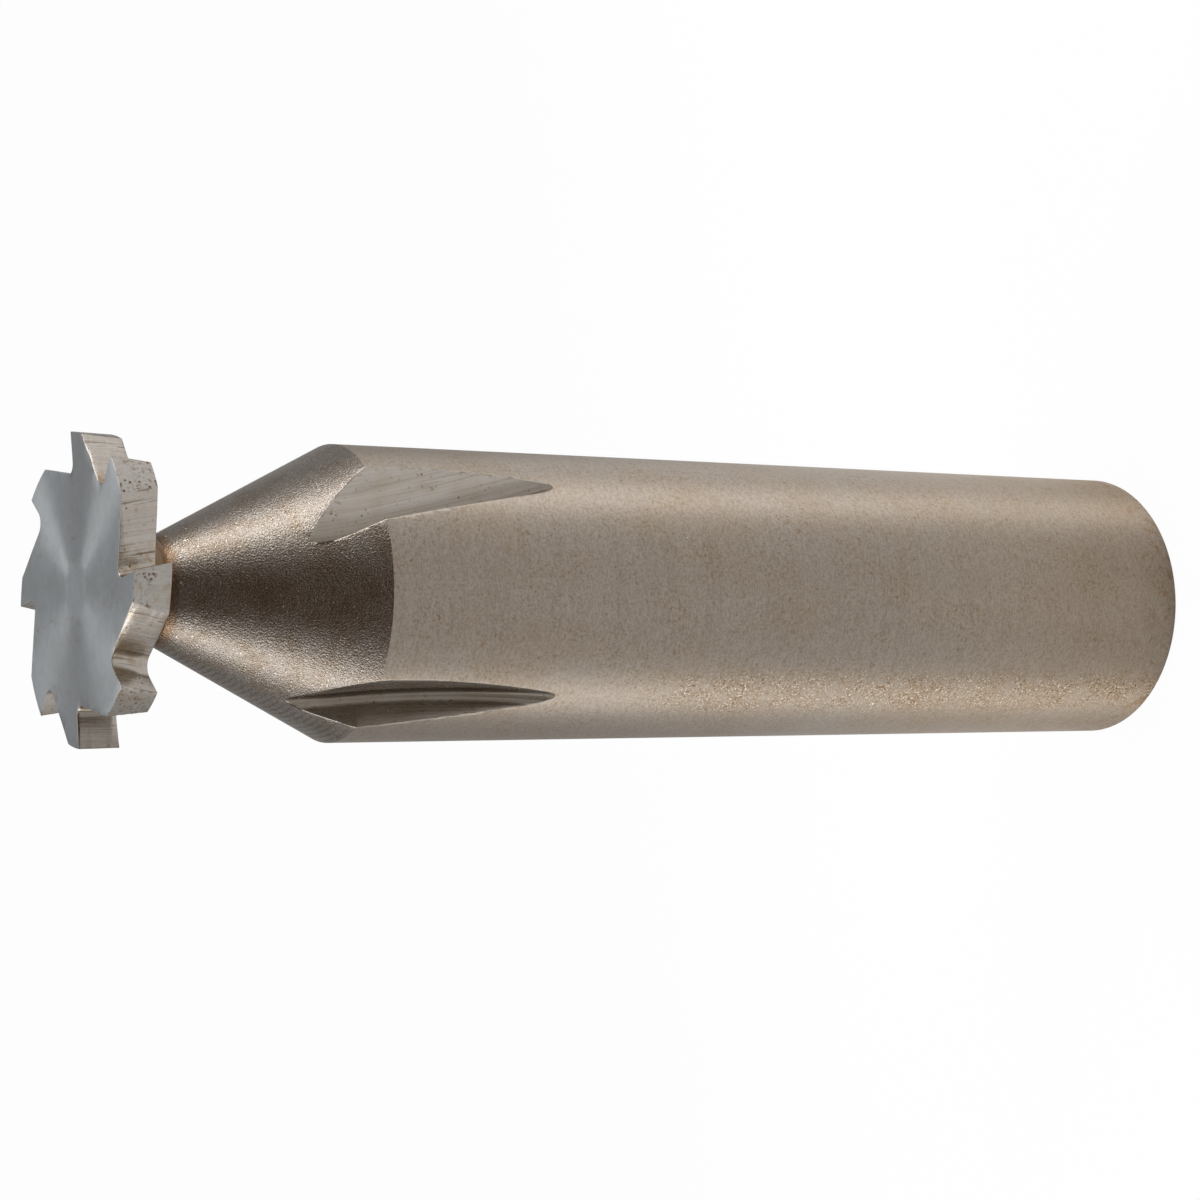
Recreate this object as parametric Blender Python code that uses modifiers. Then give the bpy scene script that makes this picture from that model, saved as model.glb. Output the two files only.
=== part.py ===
"""Woodruff keyseat cutter of the shank type, a half inch across and a sixteenth of an inch wide.

The tool is one piece of high-speed steel: a thin toothed disc on a short neck, a cone that widens from
the neck, and a plain parallel shank that a collet holds. It stands on the end of its shank with the
disc on top. Z is the tool's axis and the origin is the centre of the shank's end face. Seen from above
the tool turns anticlockwise to cut. The eight teeth are staggered: every second gullet leans the other
way. Lengths are metres and angles are degrees.
"""

import math

import bmesh
import bpy
from mathutils import Matrix, Vector

# The blank, as it comes off the lathe
OVERALL_LENGTH = 0.053975
SHANK_DIAMETER = 0.0127
END_CHAMFER = 0.0003
CONE_HALF_ANGLE = 27.5
NECK_DIAMETER = 0.0044
NECK_LENGTH = 0.00164
NECK_FILLET_RADIUS = 0.0004

# The toothed disc, whose two sides are ground a little hollow
CUTTER_DIAMETER = 0.0129
CUTTER_WIDTH = 0.0015875
TOOTH_COUNT = 8
SIDE_CLEARANCE_ANGLE = 0.5
GRINDING_ALLOWANCE = 0.00015

# The gullets wind with this lead. A wheel's depth is its bite at the middle of the disc, and its overrun
# is how far behind the disc it stops before its rim rises out, or less than nothing for a stop in the disc
GULLET_LEAD = 0.18
WHEEL_WIDTH = 0.0042

# The large wheel grinds every second gullet and leaves a groove in the cone and the shank
LARGE_WHEEL_RADIUS = 0.05
LARGE_WHEEL_DEPTH = 0.00178
LARGE_WHEEL_OVERRUN = 0.0086
LARGE_WHEEL_CLIMB_ANGLE = 0.9
LARGE_WHEEL_CORNER_RADIUS = 0.0004
LARGE_WHEEL_CONE_ANGLE = 14.4
LARGE_WHEEL_RAKE_ANGLE = 5.5

# The small wheel grinds the gullets between and stays clear of the cone
SMALL_WHEEL_RADIUS = 0.025
SMALL_WHEEL_DEPTH = 0.00167
SMALL_WHEEL_OVERRUN = -0.0008
SMALL_WHEEL_CLIMB_ANGLE = 0.0
SMALL_WHEEL_CORNER_RADIUS = 0.0005
SMALL_WHEEL_CONE_ANGLE = 12.4
SMALL_WHEEL_RAKE_ANGLE = 2.0

# The lands behind the cutting edges
LAND_RELIEF_ANGLE = 7.5

# How finely the curves are followed
TURNING_STEPS = 96
WHEEL_STEP = 0.001
CORNER_STEPS = 4
LAND_STEP_ANGLE = 4.5
LAND_LEVELS = 4
SHARP_ANGLE = 25.0

# How far a cut starts before the steel and ends past it
CUT_MARGIN = 0.0005
LAND_LEAD_ANGLE = 3.0
LAND_SPAN_ANGLE = 27.0

TIP_RADIUS = CUTTER_DIAMETER / 2
BLANK_RADIUS = TIP_RADIUS + GRINDING_ALLOWANCE
SHANK_RADIUS = SHANK_DIAMETER / 2
DISC_BACK = OVERALL_LENGTH - CUTTER_WIDTH
DISC_MIDDLE = OVERALL_LENGTH - CUTTER_WIDTH / 2


def tangent(angle):
    return math.tan(math.radians(angle))


def arc(centre_x, centre_y, radius, start, end):
    """Points on a circle from one angle to another, both ends included."""
    points = []
    for i in range(CORNER_STEPS + 1):
        angle = math.radians(start + (end - start) * i / CORNER_STEPS)
        points.append((centre_x + radius * math.cos(angle), centre_y + radius * math.sin(angle)))
    return points


def add_collection(name):
    collection = bpy.data.collections.new(name)
    bpy.context.scene.collection.children.link(collection)
    return collection


def add_object(name, mesh, collection):
    obj = bpy.data.objects.new(name, mesh)
    collection.objects.link(obj)
    return obj


def mesh_from(bm, name):
    mesh = bpy.data.meshes.new(name)
    bm.to_mesh(mesh)
    bm.free()
    return mesh


def turned_profile():
    """The blank's outline at +X, from the middle of the front face down to the middle of the shank's end."""
    hollow = tangent(SIDE_CLEARANCE_ANGLE)
    neck_radius = NECK_DIAMETER / 2
    fillet_x = neck_radius + NECK_FILLET_RADIUS
    back_above_fillet = DISC_BACK + (BLANK_RADIUS - fillet_x) * hollow
    fillet_z = back_above_fillet - NECK_FILLET_RADIUS / math.cos(math.radians(SIDE_CLEARANCE_ANGLE))
    cone_top = DISC_BACK - NECK_LENGTH
    cone_foot = cone_top - (SHANK_RADIUS - neck_radius) / tangent(CONE_HALF_ANGLE)
    face = [(0.0, OVERALL_LENGTH - BLANK_RADIUS * hollow), (BLANK_RADIUS, OVERALL_LENGTH)]
    back = [(BLANK_RADIUS, DISC_BACK)]
    fillet = arc(fillet_x, fillet_z, NECK_FILLET_RADIUS, 90 - SIDE_CLEARANCE_ANGLE, 180)
    cone = [(neck_radius, cone_top), (SHANK_RADIUS, cone_foot)]
    shank_end = [(SHANK_RADIUS, END_CHAMFER), (SHANK_RADIUS - END_CHAMFER, 0.0), (0.0, 0.0)]
    return face + back + fillet + cone + shank_end


def turn_blank(name, collection):
    """The whole blank is one profile turned about the tool's axis."""
    bm = bmesh.new()
    verts = [bm.verts.new((x, 0.0, z)) for x, z in turned_profile()]
    for upper, lower in zip(verts, verts[1:]):
        bm.edges.new((upper, lower))
    blank = add_object(name, mesh_from(bm, name), collection)
    screw = blank.modifiers.new("Turning", "SCREW")
    screw.axis = "Z"
    screw.steps = TURNING_STEPS
    screw.render_steps = TURNING_STEPS
    screw.use_merge_vertices = True
    screw.merge_threshold = 0.00001
    return blank


def wheel_outline(depth, corner_radius, cone_angle, rake_angle):
    """The wheel's outline where it cuts the tooth at +X. X is outward, and Y is the way the tooth moves.

    The wheel's flat side grinds the rake face. Its coned rim grinds the back of the next tooth.
    """
    lean = tangent(rake_angle)
    rise = tangent(cone_angle)
    rim_x = TIP_RADIUS - depth
    root_x = (rim_x - rise * lean * TIP_RADIUS) / (1 - rise * lean)
    root_y = lean * (root_x - TIP_RADIUS)
    half_opening = (90 - rake_angle - cone_angle) / 2
    bisector = math.radians(rake_angle + half_opening)
    reach = corner_radius / math.sin(math.radians(half_opening))
    corner_x = root_x + reach * math.cos(bisector)
    corner_y = root_y + reach * math.sin(bisector)
    top = BLANK_RADIUS + CUT_MARGIN
    flat_side = [(top, lean * (top - TIP_RADIUS))]
    corner = arc(corner_x, corner_y, corner_radius, rake_angle - 90, -180 - cone_angle)
    rim = [(rim_x + rise * WHEEL_WIDTH, WHEEL_WIDTH), (top, WHEEL_WIDTH)]
    return flat_side + corner + rim


def everything(bm):
    return bm.verts[:] + bm.edges[:] + bm.faces[:]


def wheel_mesh(name, outline, radius, depth, overrun, climb_angle, hand):
    """What a gullet wheel takes away at +X, with hand 1 for one way of winding and -1 for the other.

    The wheel leans with the helix. The tool turns as it passes, so the wheel's way is a screw, from before
    the disc to its stop behind it. There the tool stands still, and past it the wheel's own round rim rises
    out of the steel.
    """
    lean = hand * math.atan(math.tau * TIP_RADIUS / GULLET_LEAD)
    start = OVERALL_LENGTH + CUT_MARGIN + WHEEL_WIDTH * math.sin(abs(lean))
    stop = DISC_BACK - overrun
    climb = tangent(climb_angle)
    steps = math.ceil((start - stop) / WHEEL_STEP)
    stride = (start - stop) / steps
    turn = hand * math.tau * (start - stop) / GULLET_LEAD
    bm = bmesh.new()
    bm.faces.new([bm.verts.new((x + climb * (DISC_MIDDLE - start), y, 0.0)) for x, y in outline])
    bmesh.ops.rotate(bm, verts=bm.verts, matrix=Matrix.Rotation(lean, 3, "X"))
    bmesh.ops.translate(bm, verts=bm.verts, vec=(0.0, 0.0, start))
    travel = bmesh.ops.spin(
        bm,
        geom=everything(bm),
        axis=(0.0, 0.0, 1.0),
        dvec=(climb * stride, 0.0, -stride),
        angle=turn,
        steps=steps,
    )
    lowest = TIP_RADIUS - depth + climb * (DISC_MIDDLE - stop)
    leaving_turn = math.acos(1 - (SHANK_RADIUS + CUT_MARGIN - lowest) / radius)
    at_stop = Matrix.Rotation(turn, 3, "Z")
    bmesh.ops.spin(
        bm,
        geom=travel["geom_last"],
        cent=at_stop @ Vector((lowest + radius, 0.0, stop)),
        axis=at_stop @ Vector((0.0, math.cos(lean), math.sin(lean))),
        angle=-leaving_turn,
        steps=math.ceil(leaving_turn * radius / WHEEL_STEP),
    )
    tooth_turn = hand * math.tau * (DISC_MIDDLE - start) / GULLET_LEAD
    bmesh.ops.rotate(bm, verts=bm.verts, matrix=Matrix.Rotation(tooth_turn, 3, "Z"))
    bmesh.ops.recalc_face_normals(bm, faces=bm.faces)
    bmesh.ops.triangulate(bm, faces=bm.faces)
    return mesh_from(bm, name)


def land_mesh(name, hand):
    """The waste outside one land at +X, whose inner side is a spiral that falls behind the cutting edge.

    It winds with the gullets.
    """
    total_angle = LAND_LEAD_ANGLE + LAND_SPAN_ANGLE
    steps = math.ceil(total_angle / LAND_STEP_ANGLE)
    low = DISC_BACK - CUT_MARGIN
    high = OVERALL_LENGTH + CUT_MARGIN
    inner = []
    outer = []
    for i in range(steps + 1):
        angle = math.radians(LAND_LEAD_ANGLE - total_angle * i / steps)
        land_radius = TIP_RADIUS * (1 + tangent(LAND_RELIEF_ANGLE) * angle)
        for points, radius in ((inner, land_radius), (outer, BLANK_RADIUS + CUT_MARGIN)):
            points.append((radius * math.cos(angle), radius * math.sin(angle), low))
    bm = bmesh.new()
    bottom = bm.faces.new([bm.verts.new(point) for point in inner + outer[::-1]])
    grown = bmesh.ops.extrude_face_region(bm, geom=[bottom])["geom"]
    raised = [item for item in grown if isinstance(item, bmesh.types.BMVert)]
    bmesh.ops.translate(bm, verts=raised, vec=(0.0, 0.0, high - low))
    for level in range(1, LAND_LEVELS):
        height = low + (high - low) * level / LAND_LEVELS
        bmesh.ops.bisect_plane(bm, geom=everything(bm), plane_co=(0.0, 0.0, height), plane_no=(0.0, 0.0, 1.0))
    bmesh.ops.recalc_face_normals(bm, faces=bm.faces)
    bmesh.ops.triangulate(bm, faces=bm.faces)
    for vert in bm.verts:
        turn = hand * math.tau * (DISC_MIDDLE - vert.co.z) / GULLET_LEAD
        vert.co = Matrix.Rotation(turn, 3, "Z") @ vert.co
    return mesh_from(bm, name)


def grind(tool, name, mesh, angle, collection):
    """Takes one grinding cut away from the tool, turned about its axis to the tooth's place."""
    cutter = add_object(name, mesh, collection)
    cutter.rotation_euler.z = math.radians(angle)
    cutter.hide_render = True
    cutter.display_type = "WIRE"
    cut = tool.modifiers.new(name, "BOOLEAN")
    cut.operation = "DIFFERENCE"
    cut.solver = "EXACT"
    cut.object = cutter


def cut_teeth(tool, collection):
    """Every second tooth is cut with the large wheel and the others with the small one, leaning the other way."""
    large = wheel_mesh(
        "large_wheel",
        wheel_outline(
            LARGE_WHEEL_DEPTH,
            LARGE_WHEEL_CORNER_RADIUS,
            LARGE_WHEEL_CONE_ANGLE,
            LARGE_WHEEL_RAKE_ANGLE,
        ),
        LARGE_WHEEL_RADIUS,
        LARGE_WHEEL_DEPTH,
        LARGE_WHEEL_OVERRUN,
        LARGE_WHEEL_CLIMB_ANGLE,
        1,
    )
    small = wheel_mesh(
        "small_wheel",
        wheel_outline(
            SMALL_WHEEL_DEPTH,
            SMALL_WHEEL_CORNER_RADIUS,
            SMALL_WHEEL_CONE_ANGLE,
            SMALL_WHEEL_RAKE_ANGLE,
        ),
        SMALL_WHEEL_RADIUS,
        SMALL_WHEEL_DEPTH,
        SMALL_WHEEL_OVERRUN,
        SMALL_WHEEL_CLIMB_ANGLE,
        -1,
    )
    lands = (land_mesh("large_wheel_land", 1), land_mesh("small_wheel_land", -1))
    for i in range(TOOTH_COUNT):
        angle = 360 * i / TOOTH_COUNT
        grind(tool, f"gullet_{i + 1}", (large, small)[i % 2], angle, collection)
    for i in range(TOOTH_COUNT):
        angle = 360 * i / TOOTH_COUNT
        grind(tool, f"land_{i + 1}", lands[i % 2], angle, collection)


def set_shading(tool):
    """Makes the ground shape the tool's own mesh, smooth on the turned faces and sharp at the edges."""
    depsgraph = bpy.context.evaluated_depsgraph_get()
    mesh = bpy.data.meshes.new_from_object(tool.evaluated_get(depsgraph))
    tool.modifiers.clear()
    tool.data = mesh
    mesh.shade_smooth()
    mesh.set_sharp_from_angle(angle=math.radians(SHARP_ANGLE))


def steel():
    material = bpy.data.materials.new("high_speed_steel")
    material.use_nodes = True
    shader = material.node_tree.nodes["Principled BSDF"]
    shader.inputs["Base Color"].default_value = (0.33, 0.30, 0.27, 1.0)
    shader.inputs["Metallic"].default_value = 1.0
    shader.inputs["Roughness"].default_value = 0.38
    return material


for old in list(bpy.data.objects):
    bpy.data.objects.remove(old, do_unlink=True)

cutter = turn_blank("woodruff_cutter", add_collection("woodruff_keyseat_cutter"))
cut_teeth(cutter, add_collection("grinding_cuts"))
set_shading(cutter)
cutter.data.materials.append(steel())
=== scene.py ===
import math

import bmesh
import bpy
from mathutils import Matrix, Vector


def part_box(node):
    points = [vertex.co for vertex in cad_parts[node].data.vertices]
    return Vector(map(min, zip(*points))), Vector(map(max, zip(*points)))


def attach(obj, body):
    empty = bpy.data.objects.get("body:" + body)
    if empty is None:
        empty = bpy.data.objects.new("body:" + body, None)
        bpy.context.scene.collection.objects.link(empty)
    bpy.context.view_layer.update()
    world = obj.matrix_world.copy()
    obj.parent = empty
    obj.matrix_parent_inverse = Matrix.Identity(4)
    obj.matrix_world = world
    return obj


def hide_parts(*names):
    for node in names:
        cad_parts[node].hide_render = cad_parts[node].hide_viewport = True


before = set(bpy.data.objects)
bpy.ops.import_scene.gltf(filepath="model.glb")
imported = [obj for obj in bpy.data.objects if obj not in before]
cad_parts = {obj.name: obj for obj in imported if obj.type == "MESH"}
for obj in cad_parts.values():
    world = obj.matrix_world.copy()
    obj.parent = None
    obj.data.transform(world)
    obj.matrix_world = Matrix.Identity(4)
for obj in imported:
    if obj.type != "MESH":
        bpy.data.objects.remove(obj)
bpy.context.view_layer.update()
tool_low, tool_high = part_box("woodruff_cutter")

# The view. The camera stands in front of the tool and above it, turned on its side, so that the upright tool
# lies across the picture with its disc at the left. Places are metres and angles are degrees.
CAMERA_AIM = Vector((-0.0001, 0.0, 0.02913))
CAMERA_DISTANCE = 0.1215
CAMERA_AZIMUTH = -8.358
CAMERA_ELEVATION = 31.445
CAMERA_ROLL = -89.115
CAMERA_LENS = 80.734
CAMERA_SENSOR = 36.0
CAMERA_NEAR = 0.005
CAMERA_FAR = 10.0


def direction(azimuth, elevation):
    """A unit vector. Azimuth 0 points along -Y, as a front view's camera stands, and 90 along +X."""
    across = math.cos(math.radians(elevation))
    turn = math.radians(azimuth)
    return Vector((math.sin(turn) * across, -math.cos(turn) * across, math.sin(math.radians(elevation))))


def add_camera():
    lens = bpy.data.cameras.new("view")
    lens.lens = CAMERA_LENS
    lens.sensor_width = CAMERA_SENSOR
    lens.clip_start = CAMERA_NEAR
    lens.clip_end = CAMERA_FAR
    camera = bpy.data.objects.new("view", lens)
    back = direction(CAMERA_AZIMUTH, CAMERA_ELEVATION)
    camera.location = CAMERA_AIM + back * CAMERA_DISTANCE
    level = (-back).to_track_quat("-Z", "Y").to_matrix()
    camera.rotation_euler = (level @ Matrix.Rotation(math.radians(CAMERA_ROLL), 3, "Z")).to_euler()
    bpy.context.scene.collection.objects.link(camera)
    bpy.context.scene.camera = camera


add_camera()

# The blank. It is one bar of high-speed steel, turned on a lathe: the disc with sides ground a little hollow,
# a short neck, a cone and a parallel shank with a small chamfer. Sizes are millimetres and angles degrees.
MILLIMETRE = 0.001
LENGTH = (tool_high[2] - tool_low[2]) / MILLIMETRE
SHANK_RADIUS = 6.35
CHAMFER = 0.1
CONE_HALF_ANGLE = 27.5
NECK_RADIUS = 2.2
NECK_LENGTH = 1.64
NECK_FILLET = 0.4
TIP_RADIUS = 6.45
DISC_WIDTH = 1.5875
SIDE_CLEARANCE = 0.5
GRINDING_ALLOWANCE = 0.15
BLANK_RADIUS = TIP_RADIUS + GRINDING_ALLOWANCE
DISC_BACK = LENGTH - DISC_WIDTH
DISC_MIDDLE = LENGTH - DISC_WIDTH / 2
CONE_TOP = DISC_BACK - NECK_LENGTH
CONE_FOOT = CONE_TOP - (SHANK_RADIUS - NECK_RADIUS) / math.tan(math.radians(CONE_HALF_ANGLE))
TURNING_STEPS = 288
FILLET_STEPS = 8
RING_HEIGHT = 0.8
SEAM = 0.001
LEVEL_FACE = 0.5
FINISHES = ("disc_side", "land", "large_gullet", "small_gullet", "neck", "cone", "shank", "shank_end", "edge")


def arc(centre_x, centre_y, radius, start, end, steps):
    """Points on a circle from one angle to another, both ends included."""
    points = []
    for i in range(steps + 1):
        angle = math.radians(start + (end - start) * i / steps)
        points.append((centre_x + radius * math.cos(angle), centre_y + radius * math.sin(angle)))
    return points


def stretch(start, end, spacing):
    """The points between two ends that cut a straight line into even rings, with the far end included."""
    count = max(1, math.ceil(math.dist(start, end) / spacing))
    return [tuple(a + (b - a) * i / count for a, b in zip(start, end)) for i in range(1, count + 1)]


def turned_profile():
    """The blank's outline, from the middle of the disc's front down to the middle of the shank's end."""
    hollow = math.tan(math.radians(SIDE_CLEARANCE))
    fillet_x = NECK_RADIUS + NECK_FILLET
    back_above_fillet = DISC_BACK + (BLANK_RADIUS - fillet_x) * hollow
    fillet_z = back_above_fillet - NECK_FILLET / math.cos(math.radians(SIDE_CLEARANCE))
    front_middle = (0.0, LENGTH - BLANK_RADIUS * hollow)
    front_edge = (BLANK_RADIUS, LENGTH)
    back_edge = (BLANK_RADIUS, DISC_BACK)
    fillet = arc(fillet_x, fillet_z, NECK_FILLET, 90 - SIDE_CLEARANCE, 180, FILLET_STEPS)
    neck_foot = (NECK_RADIUS, CONE_TOP)
    cone_foot = (SHANK_RADIUS, CONE_FOOT)
    chamfer_top = (SHANK_RADIUS, CHAMFER)
    chamfer_foot = (SHANK_RADIUS - CHAMFER, 0.0)
    return (
        [front_middle]
        + stretch(front_middle, front_edge, RING_HEIGHT)
        + [back_edge]
        + stretch(back_edge, fillet[0], RING_HEIGHT)
        + fillet[1:]
        + [neck_foot]
        + stretch(neck_foot, cone_foot, RING_HEIGHT)
        + stretch(cone_foot, chamfer_top, RING_HEIGHT)
        + [chamfer_foot]
        + stretch(chamfer_foot, (0.0, 0.0), RING_HEIGHT * 2)
    )


def blank_finish(face):
    """The finish of a face of the blank, told by how high it lies and which way it points."""
    height = face.calc_center_median().z
    if height > DISC_BACK - NECK_FILLET / 2 and abs(face.normal.z) > LEVEL_FACE:
        return "disc_side"
    if height > CONE_TOP:
        return "neck"
    if height > CONE_FOOT:
        return "cone"
    if height > CHAMFER:
        return "shank"
    return "shank_end"


def mesh_object(name, bm):
    mesh = bpy.data.meshes.new(name)
    bm.to_mesh(mesh)
    bm.free()
    obj = bpy.data.objects.new(name, mesh)
    bpy.context.scene.collection.objects.link(obj)
    return obj


def turn_blank():
    bm = bmesh.new()
    verts = [bm.verts.new((x, 0.0, z)) for x, z in turned_profile()]
    for upper, lower in zip(verts, verts[1:]):
        bm.edges.new((upper, lower))
    bmesh.ops.spin(
        bm,
        geom=bm.verts[:] + bm.edges[:],
        axis=(0.0, 0.0, 1.0),
        angle=math.tau,
        steps=TURNING_STEPS,
        use_merge=True,
    )
    bmesh.ops.remove_doubles(bm, verts=bm.verts, dist=SEAM)
    bmesh.ops.recalc_face_normals(bm, faces=bm.faces)
    for face in bm.faces:
        face.material_index = FINISHES.index(blank_finish(face))
    return mesh_object("blank", bm)


blank = turn_blank()

# The gullets. Two grinding wheels cut them in turn, and each second gullet leans the other way. The tool
# turns as a wheel passes, so the gullets wind. The large wheel runs on into the cone and the shank, where it
# leaves a groove.
GULLET_LEAD = 180.0
WHEEL_WIDTH = 4.2
WHEEL_STEP = 0.4
CORNER_STEPS = 10
TOOTH_COUNT = 8
CUT_MARGIN = 0.5
LARGE_WHEEL = {
    "radius": 50.0, "depth": 1.78, "overrun": 8.6, "climb": 0.9, "corner": 0.4, "cone": 14.4, "rake": 5.5,
}
SMALL_WHEEL = {
    "radius": 25.0, "depth": 1.67, "overrun": -0.8, "climb": 0.0, "corner": 0.5, "cone": 12.4, "rake": 2.0,
}


def everything(bm):
    return bm.verts[:] + bm.edges[:] + bm.faces[:]


def wheel_outline(wheel):
    """The wheel's flat side grinds the rake face of a tooth, and its coned rim the back of the next."""
    lean = math.tan(math.radians(wheel["rake"]))
    rise = math.tan(math.radians(wheel["cone"]))
    rim_x = TIP_RADIUS - wheel["depth"]
    root_x = (rim_x - rise * lean * TIP_RADIUS) / (1 - rise * lean)
    root_y = lean * (root_x - TIP_RADIUS)
    half_opening = (90 - wheel["rake"] - wheel["cone"]) / 2
    bisector = math.radians(wheel["rake"] + half_opening)
    reach = wheel["corner"] / math.sin(math.radians(half_opening))
    corner_x = root_x + reach * math.cos(bisector)
    corner_y = root_y + reach * math.sin(bisector)
    top = BLANK_RADIUS + CUT_MARGIN
    corner = arc(corner_x, corner_y, wheel["corner"], wheel["rake"] - 90, -180 - wheel["cone"], CORNER_STEPS)
    rim = [(rim_x + rise * WHEEL_WIDTH, WHEEL_WIDTH), (top, WHEEL_WIDTH)]
    return [(top, lean * (top - TIP_RADIUS))] + corner + rim


def wheel_cut(name, wheel, hand):
    """What a wheel takes away at the tooth at +X, on a screw way to its stop and then by its round rim."""
    lean = hand * math.atan(math.tau * TIP_RADIUS / GULLET_LEAD)
    start = LENGTH + CUT_MARGIN + WHEEL_WIDTH * math.sin(abs(lean))
    stop = DISC_BACK - wheel["overrun"]
    climb = math.tan(math.radians(wheel["climb"]))
    steps = math.ceil((start - stop) / WHEEL_STEP)
    stride = (start - stop) / steps
    turn = hand * math.tau * (start - stop) / GULLET_LEAD
    bm = bmesh.new()
    outline = wheel_outline(wheel)
    bm.faces.new([bm.verts.new((x + climb * (DISC_MIDDLE - start), y, 0.0)) for x, y in outline])
    bmesh.ops.rotate(bm, verts=bm.verts, matrix=Matrix.Rotation(lean, 3, "X"))
    bmesh.ops.translate(bm, verts=bm.verts, vec=(0.0, 0.0, start))
    travel = bmesh.ops.spin(
        bm,
        geom=everything(bm),
        axis=(0.0, 0.0, 1.0),
        dvec=(climb * stride, 0.0, -stride),
        angle=turn,
        steps=steps,
    )
    lowest = TIP_RADIUS - wheel["depth"] + climb * (DISC_MIDDLE - stop)
    leaving_turn = math.acos(1 - (SHANK_RADIUS + CUT_MARGIN - lowest) / wheel["radius"])
    at_stop = Matrix.Rotation(turn, 3, "Z")
    bmesh.ops.spin(
        bm,
        geom=travel["geom_last"],
        cent=at_stop @ Vector((lowest + wheel["radius"], 0.0, stop)),
        axis=at_stop @ Vector((0.0, math.cos(lean), math.sin(lean))),
        angle=-leaving_turn,
        steps=math.ceil(leaving_turn * wheel["radius"] / WHEEL_STEP),
    )
    tooth_turn = hand * math.tau * (DISC_MIDDLE - start) / GULLET_LEAD
    bmesh.ops.rotate(bm, verts=bm.verts, matrix=Matrix.Rotation(tooth_turn, 3, "Z"))
    bmesh.ops.recalc_face_normals(bm, faces=bm.faces)
    bmesh.ops.triangulate(bm, faces=bm.faces)
    for face in bm.faces:
        face.material_index = FINISHES.index("large_gullet" if hand > 0 else "small_gullet")
    return mesh_object(name, bm)


gullet_cuts = (wheel_cut("large_wheel_cut", LARGE_WHEEL, 1), wheel_cut("small_wheel_cut", SMALL_WHEEL, -1))

# The lands. The narrow top of each tooth is ground to a spiral that falls away behind its cutting edge, and
# winds with the tooth's own gullet.
LAND_RELIEF = 7.5
LAND_LEAD = 3.0
LAND_SPAN = 27.0
LAND_STEPS = 20
LAND_LEVELS = 10


def land_cut(name, hand):
    """The waste outside the land of the tooth at +X."""
    total = LAND_LEAD + LAND_SPAN
    low = DISC_BACK - CUT_MARGIN
    high = LENGTH + CUT_MARGIN
    inner = []
    outer = []
    for i in range(LAND_STEPS + 1):
        angle = math.radians(LAND_LEAD - total * i / LAND_STEPS)
        land_radius = TIP_RADIUS * (1 + math.tan(math.radians(LAND_RELIEF)) * angle)
        for points, radius in ((inner, land_radius), (outer, BLANK_RADIUS + CUT_MARGIN)):
            points.append((radius * math.cos(angle), radius * math.sin(angle), low))
    bm = bmesh.new()
    bottom = bm.faces.new([bm.verts.new(point) for point in inner + outer[::-1]])
    grown = bmesh.ops.extrude_face_region(bm, geom=[bottom])["geom"]
    raised = [item for item in grown if isinstance(item, bmesh.types.BMVert)]
    bmesh.ops.translate(bm, verts=raised, vec=(0.0, 0.0, high - low))
    for level in range(1, LAND_LEVELS):
        height = low + (high - low) * level / LAND_LEVELS
        bmesh.ops.bisect_plane(
            bm, geom=everything(bm), plane_co=(0.0, 0.0, height), plane_no=(0.0, 0.0, 1.0)
        )
    bmesh.ops.recalc_face_normals(bm, faces=bm.faces)
    bmesh.ops.triangulate(bm, faces=bm.faces)
    for vert in bm.verts:
        turn = hand * math.tau * (DISC_MIDDLE - vert.co.z) / GULLET_LEAD
        vert.co = Matrix.Rotation(turn, 3, "Z") @ vert.co
    for face in bm.faces:
        face.material_index = FINISHES.index("land")
    return mesh_object(name, bm)


land_cuts = (land_cut("large_wheel_land_cut", 1), land_cut("small_wheel_land_cut", -1))

# The ground tool. Every cut is taken at its tooth, and the edges that are left get the hair-thin burr or
# rounding that a ground edge has.
SLIVER = 0.006
SPECK = 0.003
EDGE_WIDTH = 0.025
EDGE_SEGMENTS = 2
EDGE_ANGLE = 28.0
SMOOTH_ANGLE = 25.0


def grind(tool, cut, angle, number):
    cutter = bpy.data.objects.new(f"{cut.name}_{number}", cut.data)
    cutter.rotation_euler.z = math.radians(angle)
    bpy.context.scene.collection.objects.link(cutter)
    modifier = tool.modifiers.new(cutter.name, "BOOLEAN")
    modifier.operation = "DIFFERENCE"
    modifier.solver = "EXACT"
    modifier.material_mode = "INDEX"
    modifier.object = cutter
    return cutter


def grind_tool():
    cutters = []
    for cuts in (gullet_cuts, land_cuts):
        for i in range(TOOTH_COUNT):
            cutters.append(grind(blank, cuts[i % 2], 360 * i / TOOTH_COUNT, i + 1))
    ground = bpy.data.meshes.new_from_object(blank.evaluated_get(bpy.context.evaluated_depsgraph_get()))
    for obj in [blank, *gullet_cuts, *land_cuts, *cutters]:
        bpy.data.objects.remove(obj, do_unlink=True)
    return ground


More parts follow.
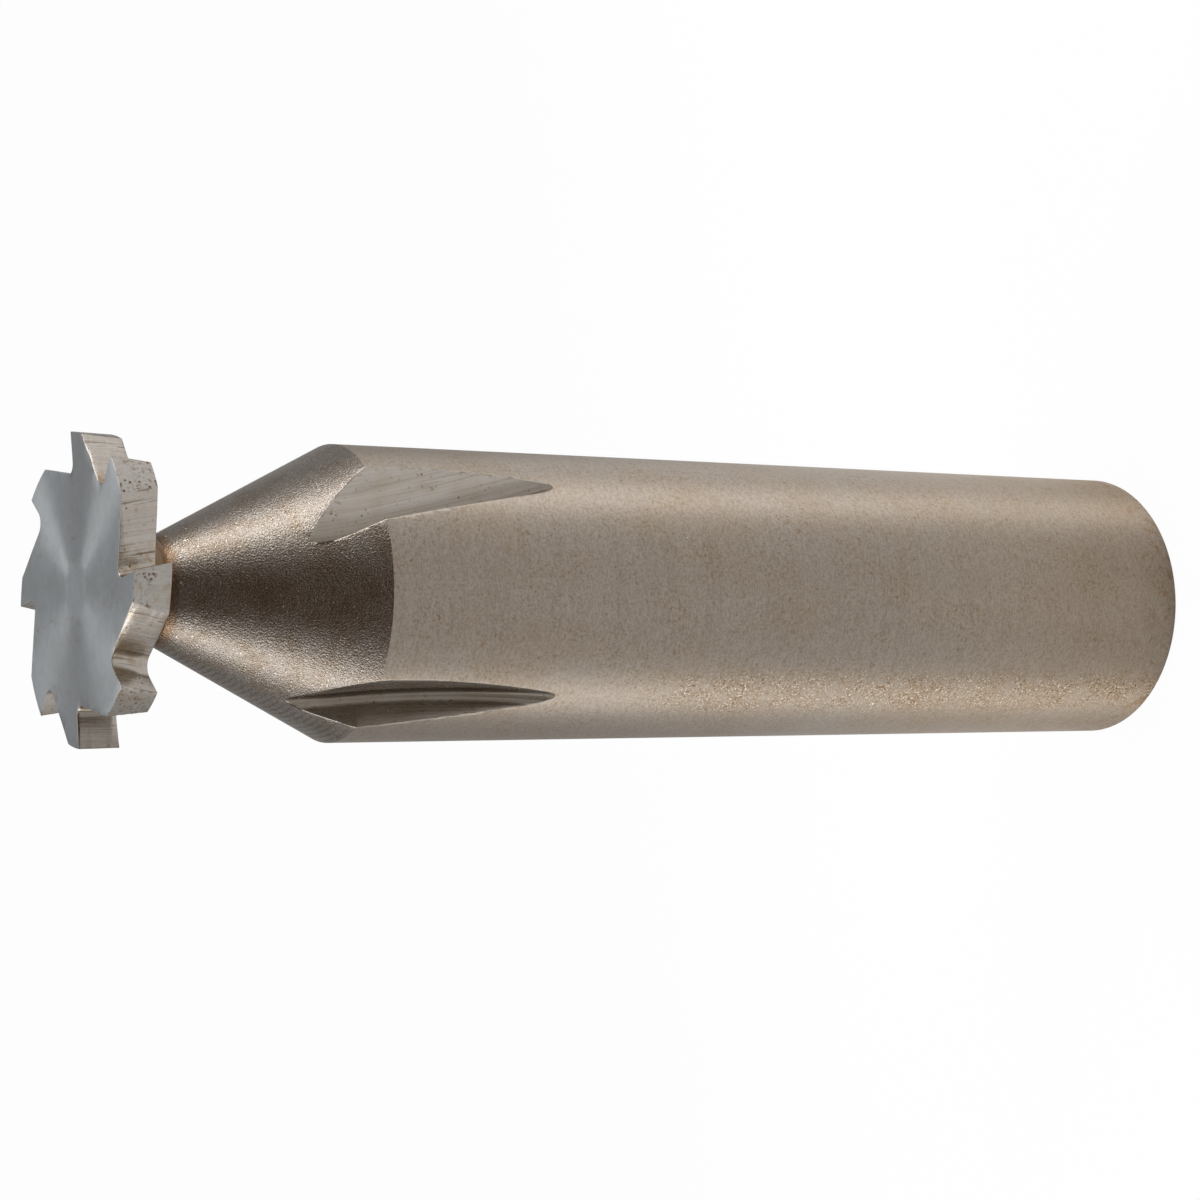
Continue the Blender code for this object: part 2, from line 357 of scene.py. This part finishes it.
def soften_edges(mesh):
    """Joins the slivers that the cuts leave, bevels the sharp edges and smooths the shading."""
    bm = bmesh.new()
    bm.from_mesh(mesh)
    bmesh.ops.remove_doubles(bm, verts=bm.verts, dist=SLIVER)
    bmesh.ops.dissolve_degenerate(bm, edges=bm.edges, dist=SPECK)
    least = math.radians(EDGE_ANGLE)
    sharp = [edge for edge in bm.edges if len(edge.link_faces) == 2 and edge.calc_face_angle(0.0) > least]
    worn = bmesh.ops.bevel(
        bm,
        geom=sharp,
        offset=EDGE_WIDTH,
        offset_type="OFFSET",
        segments=EDGE_SEGMENTS,
        profile=0.5,
        affect="EDGES",
        material=-1,
    )
    for face in worn["faces"]:
        face.material_index = FINISHES.index("edge")
    bmesh.ops.scale(bm, verts=bm.verts, vec=(MILLIMETRE, MILLIMETRE, MILLIMETRE))
    bmesh.ops.recalc_face_normals(bm, faces=bm.faces)
    bm.to_mesh(mesh)
    bm.free()
    mesh.shade_smooth()
    mesh.set_sharp_from_angle(angle=math.radians(SMOOTH_ANGLE))
    return mesh


cutter_body = bpy.data.objects.new("cutter_body", soften_edges(grind_tool()))
bpy.context.scene.collection.objects.link(cutter_body)

# The shank's finish. It is ground round and round to a satin, is a warm grey, and has faint turning marks,
# brown specks, a pitted band and stains by its end. Towards the end it is painted a little lighter and
# warmer, partly a warmer tone and partly painted light. The other finishes are built up in the same way.
STEEL = (0.468, 0.405, 0.342)
RUST = (0.13, 0.065, 0.028)
FRESH_RUST = (0.4, 0.2, 0.1)
WARMER_LIGHTER_TOP = 22.0
WARMER_LIGHTER_FOOT = 2.0
END_STAIN_TOP = 3.0
END_STAIN_FOOT = 0.3
PITTED_AZIMUTH = -50.0
PITTED_RIM = 0.965 * SHANK_RADIUS
PITTED_TOP = 32.0
PITTED_FULL = 26.0
STRAY_SCALE = 50000.0


def feed(tree, socket, value):
    """Joins a socket, or a node's first output, to an input, or sets the input's own value."""
    if isinstance(value, bpy.types.Node):
        value = value.outputs[0]
    if isinstance(value, bpy.types.NodeSocket):
        tree.links.new(value, socket)
    else:
        socket.default_value = value


def add_node(tree, kind, inputs=None, **settings):
    made = tree.nodes.new("ShaderNode" + kind)
    for name, value in settings.items():
        setattr(made, name, value)
    for key, value in (inputs or {}).items():
        feed(tree, made.inputs[key], value)
    return made


class Finish:
    """A material built in layers. A layer changes the colour, the gloss or the height where its mask is 1."""

    def __init__(self, name, colour, roughness):
        self.material = bpy.data.materials.new(name)
        self.material.use_nodes = True
        self.tree = self.material.node_tree
        self.shader = self.tree.nodes["Principled BSDF"]
        self.place = self.node("TexCoord").outputs["Object"]
        self.x, self.y, self.z = self.node("SeparateXYZ", {0: self.place}).outputs
        self.colour = (*colour, 1.0)
        self.roughness = roughness
        self.metal = 1.0
        self.height = 0.0
        self.disorder = 0.0

    def node(self, kind, inputs=None, **settings):
        return add_node(self.tree, kind, inputs, **settings)

    def math(self, operation, first, second=0.0, third=0.0):
        return self.node("Math", {0: first, 1: second, 2: third}, operation=operation)

    def times(self, mask, other):
        return self.math("MULTIPLY", mask, other)

    def stretched(self, x, y, z):
        """The object's coordinates, drawn out or squeezed along each axis."""
        return self.node("Mapping", {"Vector": self.place, "Scale": (x, y, z)}, vector_type="POINT")

    def from_axis(self):
        """The distance from the tool's axis."""
        flat = self.stretched(1.0, 1.0, 0.0)
        return self.node("VectorMath", {0: flat}, operation="LENGTH").outputs["Value"]

    def towards(self, azimuth):
        """The distance from the tool's axis, measured towards one side of the tool."""
        side = self.node("VectorMath", {0: self.place, 1: direction(azimuth, 0)}, operation="DOT_PRODUCT")
        return side.outputs["Value"]

    def ramp(self, value, low, high, start=0.0, end=1.0):
        names = {"Value": value, "From Min": low, "From Max": high, "To Min": start, "To Max": end}
        return self.node("MapRange", names, interpolation_type="SMOOTHSTEP")

    def fade(self, value, start, end):
        """A mask that is 0 where a length reaches the start and 1 at the end, both in millimetres."""
        return self.ramp(value, start * MILLIMETRE, end * MILLIMETRE)

    def noise(self, place, scale, low, high, detail=2.0):
        """A mask from noise, 0 below the low value and 1 above the high one. The scale is grains a metre."""
        grains = self.node("TexNoise", {"Vector": place, "Scale": scale, "Detail": detail})
        return self.ramp(grains, low, high)

    def dots(self, spacing, size, share):
        """Round specks. Spacing and size are millimetres, and the share is how many places have one."""
        scale = 1 / (spacing * MILLIMETRE)
        cells = self.node("TexVoronoi", {"Vector": self.place, "Scale": scale}, feature="F1")
        chosen = self.math("GREATER_THAN", self.node("SeparateXYZ", {0: cells.outputs["Color"]}), 1 - share)
        radius = size / spacing / 2
        return self.times(chosen, self.ramp(cells.outputs["Distance"], radius, radius * 0.5))

    def mix(self, mask, first, second, **settings):
        return self.node("Mix", {0: mask, 6: first, 7: second}, data_type="RGBA", **settings).outputs[2]

    def tint(self, mask, colour):
        self.colour = self.mix(mask, self.colour, (*colour, 1.0))

    def shade(self, mask, factor):
        """Darkens or lightens the colour under the mask."""
        full = self.mix(mask, (1.0, 1.0, 1.0, 1.0), (*factor, 1.0))
        self.colour = self.mix(1.0, self.colour, full, blend_type="MULTIPLY")

    def gloss(self, mask, change):
        self.roughness = self.math("MULTIPLY_ADD", mask, change, self.roughness)

    def lift(self, mask, height):
        """Raises the surface under the mask by a height in millimetres."""
        self.height = self.math("MULTIPLY_ADD", mask, height * MILLIMETRE, self.height)

    def rust(self, mask, colour=RUST, strength=0.9):
        """Thin brown oxide. It is dull and stands a little proud."""
        patch = self.times(mask, strength)
        self.tint(patch, colour)
        self.metal = self.math("SUBTRACT", self.metal, self.times(patch, 0.7))
        self.gloss(patch, 0.2)
        self.lift(patch, 0.002)

    def grind_round(self, strength, rotation=0.25):
        """Draws highlights out, as fine rings round the axis do. Disorder turns the rings astray."""
        self.shader.inputs["Anisotropic"].default_value = strength
        self.shader.inputs["Anisotropic Rotation"].default_value = rotation
        along = self.node("Tangent", direction_type="RADIAL", axis="Z")
        stray = self.node("TexNoise", {"Vector": self.place, "Scale": STRAY_SCALE, "Detail": 0.0})
        stray = self.node("VectorMath", {0: stray.outputs["Color"], 1: (0.5, 0.5, 0.5)}, operation="SUBTRACT")
        stray = self.node("VectorMath", {0: stray, "Scale": self.disorder}, operation="SCALE")
        feed(self.tree, self.shader.inputs["Tangent"], self.node("VectorMath", {0: along, 1: stray}))

    def done(self):
        feed(self.tree, self.shader.inputs["Base Color"], self.colour)
        feed(self.tree, self.shader.inputs["Roughness"], self.roughness)
        feed(self.tree, self.shader.inputs["Metallic"], self.metal)
        relief = self.node("Bump", {"Height": self.height, "Distance": 1.0, "Strength": 1.0})
        feed(self.tree, self.shader.inputs["Normal"], relief)
        return self.material


def pit_band(steel):
    """The band of fine rust pits along the shank, which ends short of the grooves."""
    band = steel.fade(steel.towards(PITTED_AZIMUTH), PITTED_RIM, SHANK_RADIUS)
    band = steel.times(band, steel.fade(steel.z, PITTED_TOP, PITTED_FULL))
    pitted = steel.times(band, steel.noise(steel.place, 1100.0, 0.2, 0.6, 4.0))
    pits = steel.times(steel.noise(steel.place, 9500.0, 0.54, 0.64, 1.0), pitted)
    steel.shade(pitted, (0.97, 0.92, 0.84))
    steel.shade(pits, (0.58, 0.46, 0.34))
    steel.lift(pits, -0.004)
    steel.tint(steel.times(steel.noise(steel.place, 10500.0, 0.6, 0.68, 1.0), pitted), (0.78, 0.71, 0.62))
    steel.rust(steel.times(steel.dots(0.5, 0.2, 0.35), pitted), FRESH_RUST, 0.6)


def shank_finish():
    steel = Finish("ground_shank", STEEL, 0.43)
    marks = steel.stretched(0.2, 0.2, 1.0)
    rings = steel.stretched(0.03, 0.03, 1.0)
    steel.shade(steel.noise(marks, 15000.0, 0.4, 0.64, 1.0), (0.89, 0.885, 0.88))
    steel.shade(steel.noise(rings, 7000.0, 0.45, 0.7), (0.965, 0.96, 0.955))
    steel.gloss(steel.noise(rings, 3000.0, 0.4, 0.65), 0.02)
    steel.lift(steel.noise(marks, 15000.0, 0.3, 0.7, 1.0), 0.0008)
    steel.shade(steel.noise(steel.place, 9000.0, 0.44, 0.62), (0.86, 0.84, 0.81))
    steel.lift(steel.noise(steel.place, 15000.0, 0.3, 0.7, 1.0), 0.002)
    steel.shade(steel.noise(steel.place, 260.0, 0.42, 0.7, 5.0), (0.97, 0.94, 0.9))
    # Painted light: the shank is painted a little lighter towards its end, together with a warmer tone.
    steel.shade(steel.fade(steel.z, WARMER_LIGHTER_TOP, WARMER_LIGHTER_FOOT), (1.05, 1.02, 0.97))
    stained = steel.noise(steel.place, 500.0, 0.42, 0.62, 3.0)
    steel.shade(steel.times(steel.noise(steel.place, 6500.0, 0.58, 0.7, 1.0), stained), (0.84, 0.74, 0.6))
    steel.shade(steel.noise(steel.place, 4200.0, 0.66, 0.78, 1.0), (0.84, 0.76, 0.64))
    end_stain = steel.times(steel.fade(steel.z, END_STAIN_TOP, END_STAIN_FOOT), 0.5)
    steel.shade(steel.times(steel.noise(steel.place, 1600.0, 0.54, 0.64, 4.0), end_stain), (0.8, 0.56, 0.34))
    pit_band(steel)
    steel.rust(steel.dots(1.5, 0.1, 0.3), strength=0.8)
    steel.rust(steel.dots(2.4, 0.22, 0.3), strength=0.45)
    steel.rust(steel.times(steel.dots(0.5, 0.12, 0.3), stained), strength=0.5)
    steel.tint(steel.dots(1.9, 0.09, 0.2), (0.85, 0.81, 0.76))
    steel.grind_round(0.9)
    return steel.done()


def shank_end_finish():
    steel = Finish("shank_end", STEEL, 0.38)
    rings = steel.stretched(0.1, 0.1, 1.0)
    steel.shade(steel.noise(rings, 4000.0, 0.4, 0.6, 3.0), (0.7, 0.62, 0.5))
    steel.rust(steel.noise(steel.place, 900.0, 0.5, 0.66, 4.0), strength=0.7)
    return steel.done()


# The cone's finish. It is blasted with grit to an even sparkling grain over fine turning ripples, which hold
# dark oxide low on one side; the ripples there also get painted shade and painted highlight, standing in for
# how they catch the light along that outline. The neck between the cone and the disc has kept a coppery
# temper colour, which tints the top of the cone, where a few bright burrs are left.
RIPPLE_SPACING = 0.275
OXIDE_AND_SHEEN_AZIMUTH = -100.0
OXIDE_AND_SHEEN_START = 0.86
OXIDE_AND_SHEEN_FULL = 0.99
TEMPER_REACH = 0.6
BURR_REACH = 1.8


def ripple_oxide_and_sheen(steel):
    """The turning ripples, with oxide in their troughs and painted shade and highlight on one side, where
    they catch the light.
    """
    wave = steel.math("SINE", steel.times(steel.z, math.tau / (RIPPLE_SPACING * MILLIMETRE)))
    steel.lift(wave, 0.0008)
    facing = steel.math("DIVIDE", steel.towards(OXIDE_AND_SHEEN_AZIMUTH), steel.from_axis())
    side = steel.ramp(facing, OXIDE_AND_SHEEN_START, OXIDE_AND_SHEEN_FULL)
    # Painted shade in the troughs, partly dark oxide, and painted highlight on the crests, on one side only.
    steel.shade(steel.times(steel.ramp(wave, -0.2, 0.7), side), (0.66, 0.6, 0.54))
    steel.shade(steel.times(steel.ramp(wave, 0.2, -0.7), side), (0.95, 1.0, 1.06))


def cone_finish():
    steel = Finish("blasted_cone", (0.312, 0.277, 0.243), 0.34)
    steel.lift(steel.noise(steel.place, 13000.0, 0.3, 0.7, 1.0), 0.0068)
    ripple_oxide_and_sheen(steel)
    steel.shade(steel.noise(steel.place, 12000.0, 0.46, 0.62, 1.0), (0.66, 0.59, 0.52))
    steel.shade(steel.noise(steel.place, 900.0, 0.42, 0.68, 4.0), (0.86, 0.8, 0.73))
    steel.tint(steel.noise(steel.place, 12000.0, 0.66, 0.76, 0.0), (0.5, 0.45, 0.39))
    steel.shade(steel.fade(steel.z, CONE_TOP - TEMPER_REACH, CONE_TOP), (0.72, 0.52, 0.36))
    burred = steel.fade(steel.z, CONE_TOP - BURR_REACH, CONE_TOP - TEMPER_REACH)
    steel.tint(steel.times(steel.dots(0.3, 0.12, 0.22), burred), (0.9, 0.86, 0.8))
    steel.rust(steel.dots(0.6, 0.12, 0.3), strength=0.6)
    return steel.done()


def neck_finish():
    steel = Finish("tempered_neck", (0.18, 0.12, 0.075), 0.34)
    rings = steel.stretched(0.1, 0.1, 1.0)
    steel.shade(steel.noise(rings, 7000.0, 0.4, 0.65, 3.0), (0.6, 0.5, 0.4))
    steel.rust(steel.noise(steel.place, 1500.0, 0.52, 0.7, 4.0), strength=0.6)
    steel.lift(steel.noise(rings, 9000.0, 0.3, 0.7), 0.004)
    return steel.done()


# The disc's sides. They are ground in fine circles, which draw the lamps' light out into streaks from the
# middle. The middle itself and the lower half are ground less evenly, so the streaks fade there, and the
# middle is painted a little darker as painted shade.
EVEN_RADIUS = 1.4
UNEVEN_RADIUS = 0.7
MIDDLE_DISORDER = 8.0
LOWER_START = 1.0
LOWER_FULL = -1.0
LOWER_DISORDER = 1.5
LEAST_DISORDER = 0.06


def disc_finish():
    steel = Finish("ground_disc", (0.305, 0.318, 0.323), 0.36)
    radius = steel.from_axis()
    middle = steel.fade(radius, EVEN_RADIUS, UNEVEN_RADIUS)
    lower = steel.fade(steel.x, LOWER_START, LOWER_FULL)
    lower_disorder = steel.math("MULTIPLY_ADD", lower, LOWER_DISORDER, LEAST_DISORDER)
    steel.disorder = steel.math("MULTIPLY_ADD", middle, MIDDLE_DISORDER, lower_disorder)
    circles = steel.node(
        "CombineXYZ", {0: radius, 1: steel.times(steel.x, 0.05), 2: steel.times(steel.y, 0.05)}
    )
    # Painted shade: the middle is painted a little darker, to dim the sheen it catches.
    steel.shade(middle, (0.93, 0.93, 0.93))
    steel.shade(steel.noise(circles, 14000.0, 0.4, 0.65), (0.97, 0.97, 0.97))
    steel.lift(steel.noise(steel.place, 9000.0, 0.3, 0.7), 0.001)
    steel.shade(steel.noise(steel.place, 2600.0, 0.4, 0.7, 3.0), (0.93, 0.925, 0.92))
    steel.shade(steel.noise(steel.place, 350.0, 0.45, 0.7, 4.0), (0.91, 0.9, 0.88))
    stained = steel.noise(steel.place, 420.0, 0.5, 0.62)
    steel.shade(steel.times(steel.noise(steel.place, 2200.0, 0.5, 0.62), stained), (0.93, 0.9, 0.87))
    steel.rust(steel.dots(0.75, 0.14, 0.28), strength=0.85)
    steel.rust(steel.times(steel.dots(0.35, 0.12, 0.3), stained), strength=0.7)
    steel.tint(steel.dots(1.1, 0.1, 0.25), (0.55, 0.55, 0.54))
    steel.grind_round(0.96)
    return steel.done()


# The ground teeth. The wheels leave fine lines along each gullet, which wind with it down to the wheel's stop
# and run straight below it. Oxide has settled in the corners between the teeth, on the lands and along the
# edges, and the wall and root corner of the groove below the disc get painted shade.
FIRST_ANGLE = -20.0
LAST_ANGLE = 70.0
SHADED_WALL_START = 0.4
SHADED_WALL_FULL = 0.2
ROOT_REACH = 0.35
ROOT_FULL = 0.15
GROOVE_SCRATCHES = 0.22


def unwind(steel, wheel, hand):
    """Where a point lies across the wheel's outline and out from the tool's axis, as it was ground."""
    lean = hand * math.atan(math.tau * TIP_RADIUS / GULLET_LEAD)
    stop = (DISC_BACK - wheel["overrun"]) * MILLIMETRE
    wound = steel.math("MAXIMUM", steel.z, stop)
    below = steel.math("MINIMUM", steel.math("SUBTRACT", steel.z, stop), 0.0)
    way = steel.math("SUBTRACT", wound, DISC_MIDDLE * MILLIMETRE)
    first = 0.0 if hand > 0 else -math.tau / TOOTH_COUNT
    turn = steel.math("MULTIPLY_ADD", way, hand * math.tau / (GULLET_LEAD * MILLIMETRE), first)
    unwound = steel.node("VectorRotate", {"Vector": steel.place, "Angle": turn}, rotation_type="Z_AXIS")
    parts = steel.node("SeparateXYZ", {0: unwound})
    angle = steel.math("ARCTAN2", parts.outputs[1], parts.outputs[0])
    angle = steel.math("WRAP", angle, math.radians(LAST_ANGLE), math.radians(FIRST_ANGLE))
    radius = steel.from_axis()
    side = steel.times(radius, steel.math("SINE", angle))
    out = steel.times(radius, steel.math("COSINE", angle))
    across = steel.math("MULTIPLY_ADD", below, math.sin(lean), steel.times(side, math.cos(lean)))
    climbed = steel.math("MULTIPLY_ADD", way, math.tan(math.radians(wheel["climb"])), out)
    rim_radius = wheel["radius"] * MILLIMETRE * math.cos(lean) ** 2
    rise = steel.times(steel.times(below, below), 0.5 / rim_radius)
    return across, steel.math("SUBTRACT", climbed, rise)


def paint_shade_and_stain_roots(steel, wheel, across, depth):
    """Paints shade on the run-out's wall and the corner at its root, and stains the corner between the teeth.
    """
    run_out = steel.fade(steel.z, DISC_BACK, CONE_TOP)
    # Painted shade: the run-out's wall and the corner at its root are darkened in this recess.
    steel.shade(steel.times(run_out, steel.fade(across, SHADED_WALL_START, SHADED_WALL_FULL)), (0.7, 0.68, 0.65))
    root = TIP_RADIUS - wheel["depth"]
    corner = steel.fade(depth, root + ROOT_REACH, root + ROOT_FULL)
    steel.shade(steel.times(corner, run_out), (0.7, 0.68, 0.65))
    corner = steel.times(corner, steel.fade(steel.z, CONE_FOOT, DISC_BACK))
    steel.shade(steel.times(corner, steel.noise(steel.place, 2500.0, 0.4, 0.65)), (0.84, 0.74, 0.6))


def gullet_finish(name, wheel, hand):
    steel = Finish(name, (0.44, 0.405, 0.365), 0.25)
    across, depth = unwind(steel, wheel, hand)
    lines = steel.node("CombineXYZ", {0: across, 1: depth, 2: steel.times(steel.z, 0.008)})
    scratches = steel.node("CombineXYZ", {0: across, 1: depth, 2: steel.times(steel.z, 0.03)})
    steel.lift(steel.noise(lines, 14000.0, 0.3, 0.7), 0.0012)
    steel.shade(steel.noise(lines, 3000.0, 0.42, 0.66), (0.93, 0.92, 0.9))
    steel.shade(steel.noise(lines, 13000.0, 0.5, 0.64), (0.88, 0.86, 0.83))
    on_tooth = steel.ramp(steel.z, CONE_TOP * MILLIMETRE, DISC_BACK * MILLIMETRE, GROOVE_SCRATCHES, 1.0)
    busy = steel.times(steel.noise(scratches, 1600.0, 0.45, 0.6, 1.0), on_tooth)
    steel.shade(steel.times(steel.noise(scratches, 17000.0, 0.56, 0.64, 1.0), busy), (0.55, 0.5, 0.45))
    steel.gloss(steel.noise(lines, 6000.0, 0.4, 0.7), 0.05)
    steel.shade(steel.noise(steel.place, 700.0, 0.42, 0.68, 4.0), (0.93, 0.89, 0.84))
    steel.shade(steel.noise(steel.place, 5000.0, 0.66, 0.74, 1.0), (0.78, 0.7, 0.6))
    paint_shade_and_stain_roots(steel, wheel, across, depth)
    stained = steel.noise(steel.place, 600.0, 0.46, 0.6)
    steel.rust(steel.times(steel.dots(0.3, 0.14, 0.5), stained), strength=0.8)
    steel.rust(steel.dots(0.9, 0.12, 0.35), strength=0.85)
    return steel.done()


def land_finish():
    steel = Finish("ground_land", (0.4, 0.375, 0.345), 0.34)
    lines = steel.stretched(1.0, 1.0, 0.1)
    steel.lift(steel.noise(steel.place, 14000.0, 0.3, 0.7), 0.0016)
    steel.shade(steel.noise(lines, 14000.0, 0.5, 0.66), (0.93, 0.92, 0.9))
    steel.shade(steel.noise(steel.place, 9000.0, 0.4, 0.65), (0.93, 0.92, 0.9))
    steel.shade(steel.noise(steel.place, 1500.0, 0.5, 0.7, 3.0), (0.88, 0.81, 0.7))
    stained = steel.noise(steel.place, 600.0, 0.38, 0.52)
    steel.rust(steel.times(steel.noise(steel.place, 5000.0, 0.57, 0.66, 1.0), stained), strength=0.55)
    steel.rust(steel.times(steel.dots(0.2, 0.16, 0.6), stained), strength=0.95)
    steel.rust(steel.times(steel.dots(0.12, 0.08, 0.35), stained), strength=0.9)
    return steel.done()


def edge_finish():
    steel = Finish("worn_edge", (0.41, 0.385, 0.355), 0.34)
    steel.rust(steel.noise(steel.place, 1500.0, 0.5, 0.62, 3.0), strength=0.7)
    return steel.done()


materials = {
    "disc_side": disc_finish(),
    "land": land_finish(),
    "large_gullet": gullet_finish("large_wheel_gullet", LARGE_WHEEL, 1),
    "small_gullet": gullet_finish("small_wheel_gullet", SMALL_WHEEL, -1),
    "neck": neck_finish(),
    "cone": cone_finish(),
    "shank": shank_finish(),
    "shank_end": shank_end_finish(),
    "edge": edge_finish(),
}
for finish in FINISHES:
    cutter_body.data.materials.append(materials[finish])
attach(cutter_body, "root")
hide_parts("woodruff_cutter")

# The floor. It is a plain sheet, pale in front of the tool and greyer behind, as the metal mirrors it. The
# camera sees it lit up to white, with a soft shadow left.
FLOOR_HALF = 1.5
FLOOR_ROUGHNESS = 0.9
GLOW_SHARE = 0.97
PALE_AZIMUTH = 10.0
PALE_START = -0.06
PALE_END = -0.01
FRONT_GREY = 0.9
BACK_GREY = 0.41


def floor_material():
    material = bpy.data.materials.new("pale_floor")
    material.use_nodes = True
    tree = material.node_tree
    place = add_node(tree, "TexCoord").outputs["Object"]
    forward = add_node(tree, "VectorMath", {0: place, 1: direction(PALE_AZIMUTH, 0)}, operation="DOT_PRODUCT")
    grade = {"From Min": PALE_START, "From Max": PALE_END, "To Min": BACK_GREY, "To Max": FRONT_GREY}
    grade["Value"] = forward.outputs["Value"]
    sheet = tree.nodes["Principled BSDF"]
    sheet.inputs["Roughness"].default_value = FLOOR_ROUGHNESS
    sheet.inputs["Specular IOR Level"].default_value = 0.0
    feed(tree, sheet.inputs["Base Color"], add_node(tree, "MapRange", grade, interpolation_type="SMOOTHSTEP"))
    glow = add_node(tree, "Emission", {"Strength": 1.0})
    seen = add_node(tree, "LightPath").outputs["Is Camera Ray"]
    share = add_node(tree, "Math", {0: seen, 1: GLOW_SHARE}, operation="MULTIPLY")
    lit = add_node(tree, "MixShader", {0: share, 1: sheet, 2: glow})
    feed(tree, tree.nodes["Material Output"].inputs["Surface"], lit)
    return material


def add_floor():
    bm = bmesh.new()
    bmesh.ops.create_grid(bm, x_segments=1, y_segments=1, size=FLOOR_HALF)
    floor = mesh_object("floor", bm)
    floor.data.materials.append(floor_material())


add_floor()

# The light. A tall soft box stands low at each side, and a narrow one high behind each of those for the
# streaks on the disc. The metal mirrors a grey room, pale behind the tool and low in front of it and brown
# round the camera, which the camera itself sees as white.
LAMP_DISTANCE = 0.45
LAMPS = {
    "right_box": {
        "azimuth": 74.0, "elevation": 22.0, "roll": 0.0, "width": 0.19, "height": 0.29, "power": 0.73,
    },
    "left_box": {
        "azimuth": -90.0, "elevation": 18.0, "roll": 25.0, "width": 0.2, "height": 0.32, "power": 0.62,
    },
    "right_strip": {
        "azimuth": 124.0, "elevation": 41.0, "roll": 0.0, "width": 0.05, "height": 0.2, "power": 0.3,
    },
    "left_strip": {
        "azimuth": -127.0, "elevation": 56.0, "roll": 0.0, "width": 0.05, "height": 0.2, "power": 0.38,
    },
}
ROOM_GREY = (0.34, 0.34, 0.345)
BEHIND = CAMERA_AZIMUTH + 180
FRONT = CAMERA_AZIMUTH
ROOM_SIDES = {
    "pale_wall": {
        "azimuth": BEHIND, "elevation": 72.0, "inner": 25.0, "outer": 65.0, "colour": (0.95, 0.97, 1.0),
    },
    "brown_front": {
        "azimuth": FRONT, "elevation": 38.0, "inner": 24.0, "outer": 52.0, "colour": (0.085, 0.05, 0.028),
    },
    "front_apron": {
        "azimuth": FRONT, "elevation": -5.0, "inner": 10.0, "outer": 20.0, "colour": (0.6, 0.59, 0.57),
    },
}


def add_lamp(name, azimuth, elevation, roll, width, height, power):
    light = bpy.data.lights.new(name, "AREA")
    light.shape = "RECTANGLE"
    light.size = width
    light.size_y = height
    light.energy = power
    lamp = bpy.data.objects.new(name, light)
    aim = Vector((0.0, 0.0, LENGTH * MILLIMETRE / 2))
    towards = direction(azimuth, elevation)
    lamp.location = aim + towards * LAMP_DISTANCE
    level = towards.to_track_quat("Z", "Y").to_matrix()
    lamp.rotation_euler = (level @ Matrix.Rotation(math.radians(roll), 3, "Z")).to_euler()
    bpy.context.scene.collection.objects.link(lamp)


def add_side(tree, place, room, azimuth, elevation, inner, outer, colour):
    """Gives the room another colour round a direction, within the inner angle and fading to the outer."""
    towards = direction(azimuth, elevation)
    facing = add_node(tree, "VectorMath", {0: place, 1: towards}, operation="DOT_PRODUCT")
    reach = {"From Min": math.cos(math.radians(outer)), "From Max": math.cos(math.radians(inner))}
    reach["Value"] = facing.outputs["Value"]
    near = add_node(tree, "MapRange", reach, interpolation_type="SMOOTHSTEP")
    return add_node(tree, "Mix", {0: near, 6: room, 7: (*colour, 1.0)}, data_type="RGBA").outputs[2]


def add_room():
    world = bpy.data.worlds.new("room")
    world.use_nodes = True
    tree = world.node_tree
    place = add_node(tree, "TexCoord").outputs["Generated"]
    room = (*ROOM_GREY, 1.0)
    for side in ROOM_SIDES.values():
        room = add_side(tree, place, room, **side)
    seen = add_node(tree, "LightPath").outputs["Is Camera Ray"]
    white = (GLOW_SHARE, GLOW_SHARE, GLOW_SHARE, 1.0)
    room = add_node(tree, "Mix", {0: seen, 6: room, 7: white}, data_type="RGBA").outputs[2]
    feed(tree, tree.nodes["Background"].inputs["Color"], room)
    bpy.context.scene.world = world


for name, lamp in LAMPS.items():
    add_lamp(name, **lamp)
add_room()

bpy.context.scene.view_settings.view_transform = "Standard"
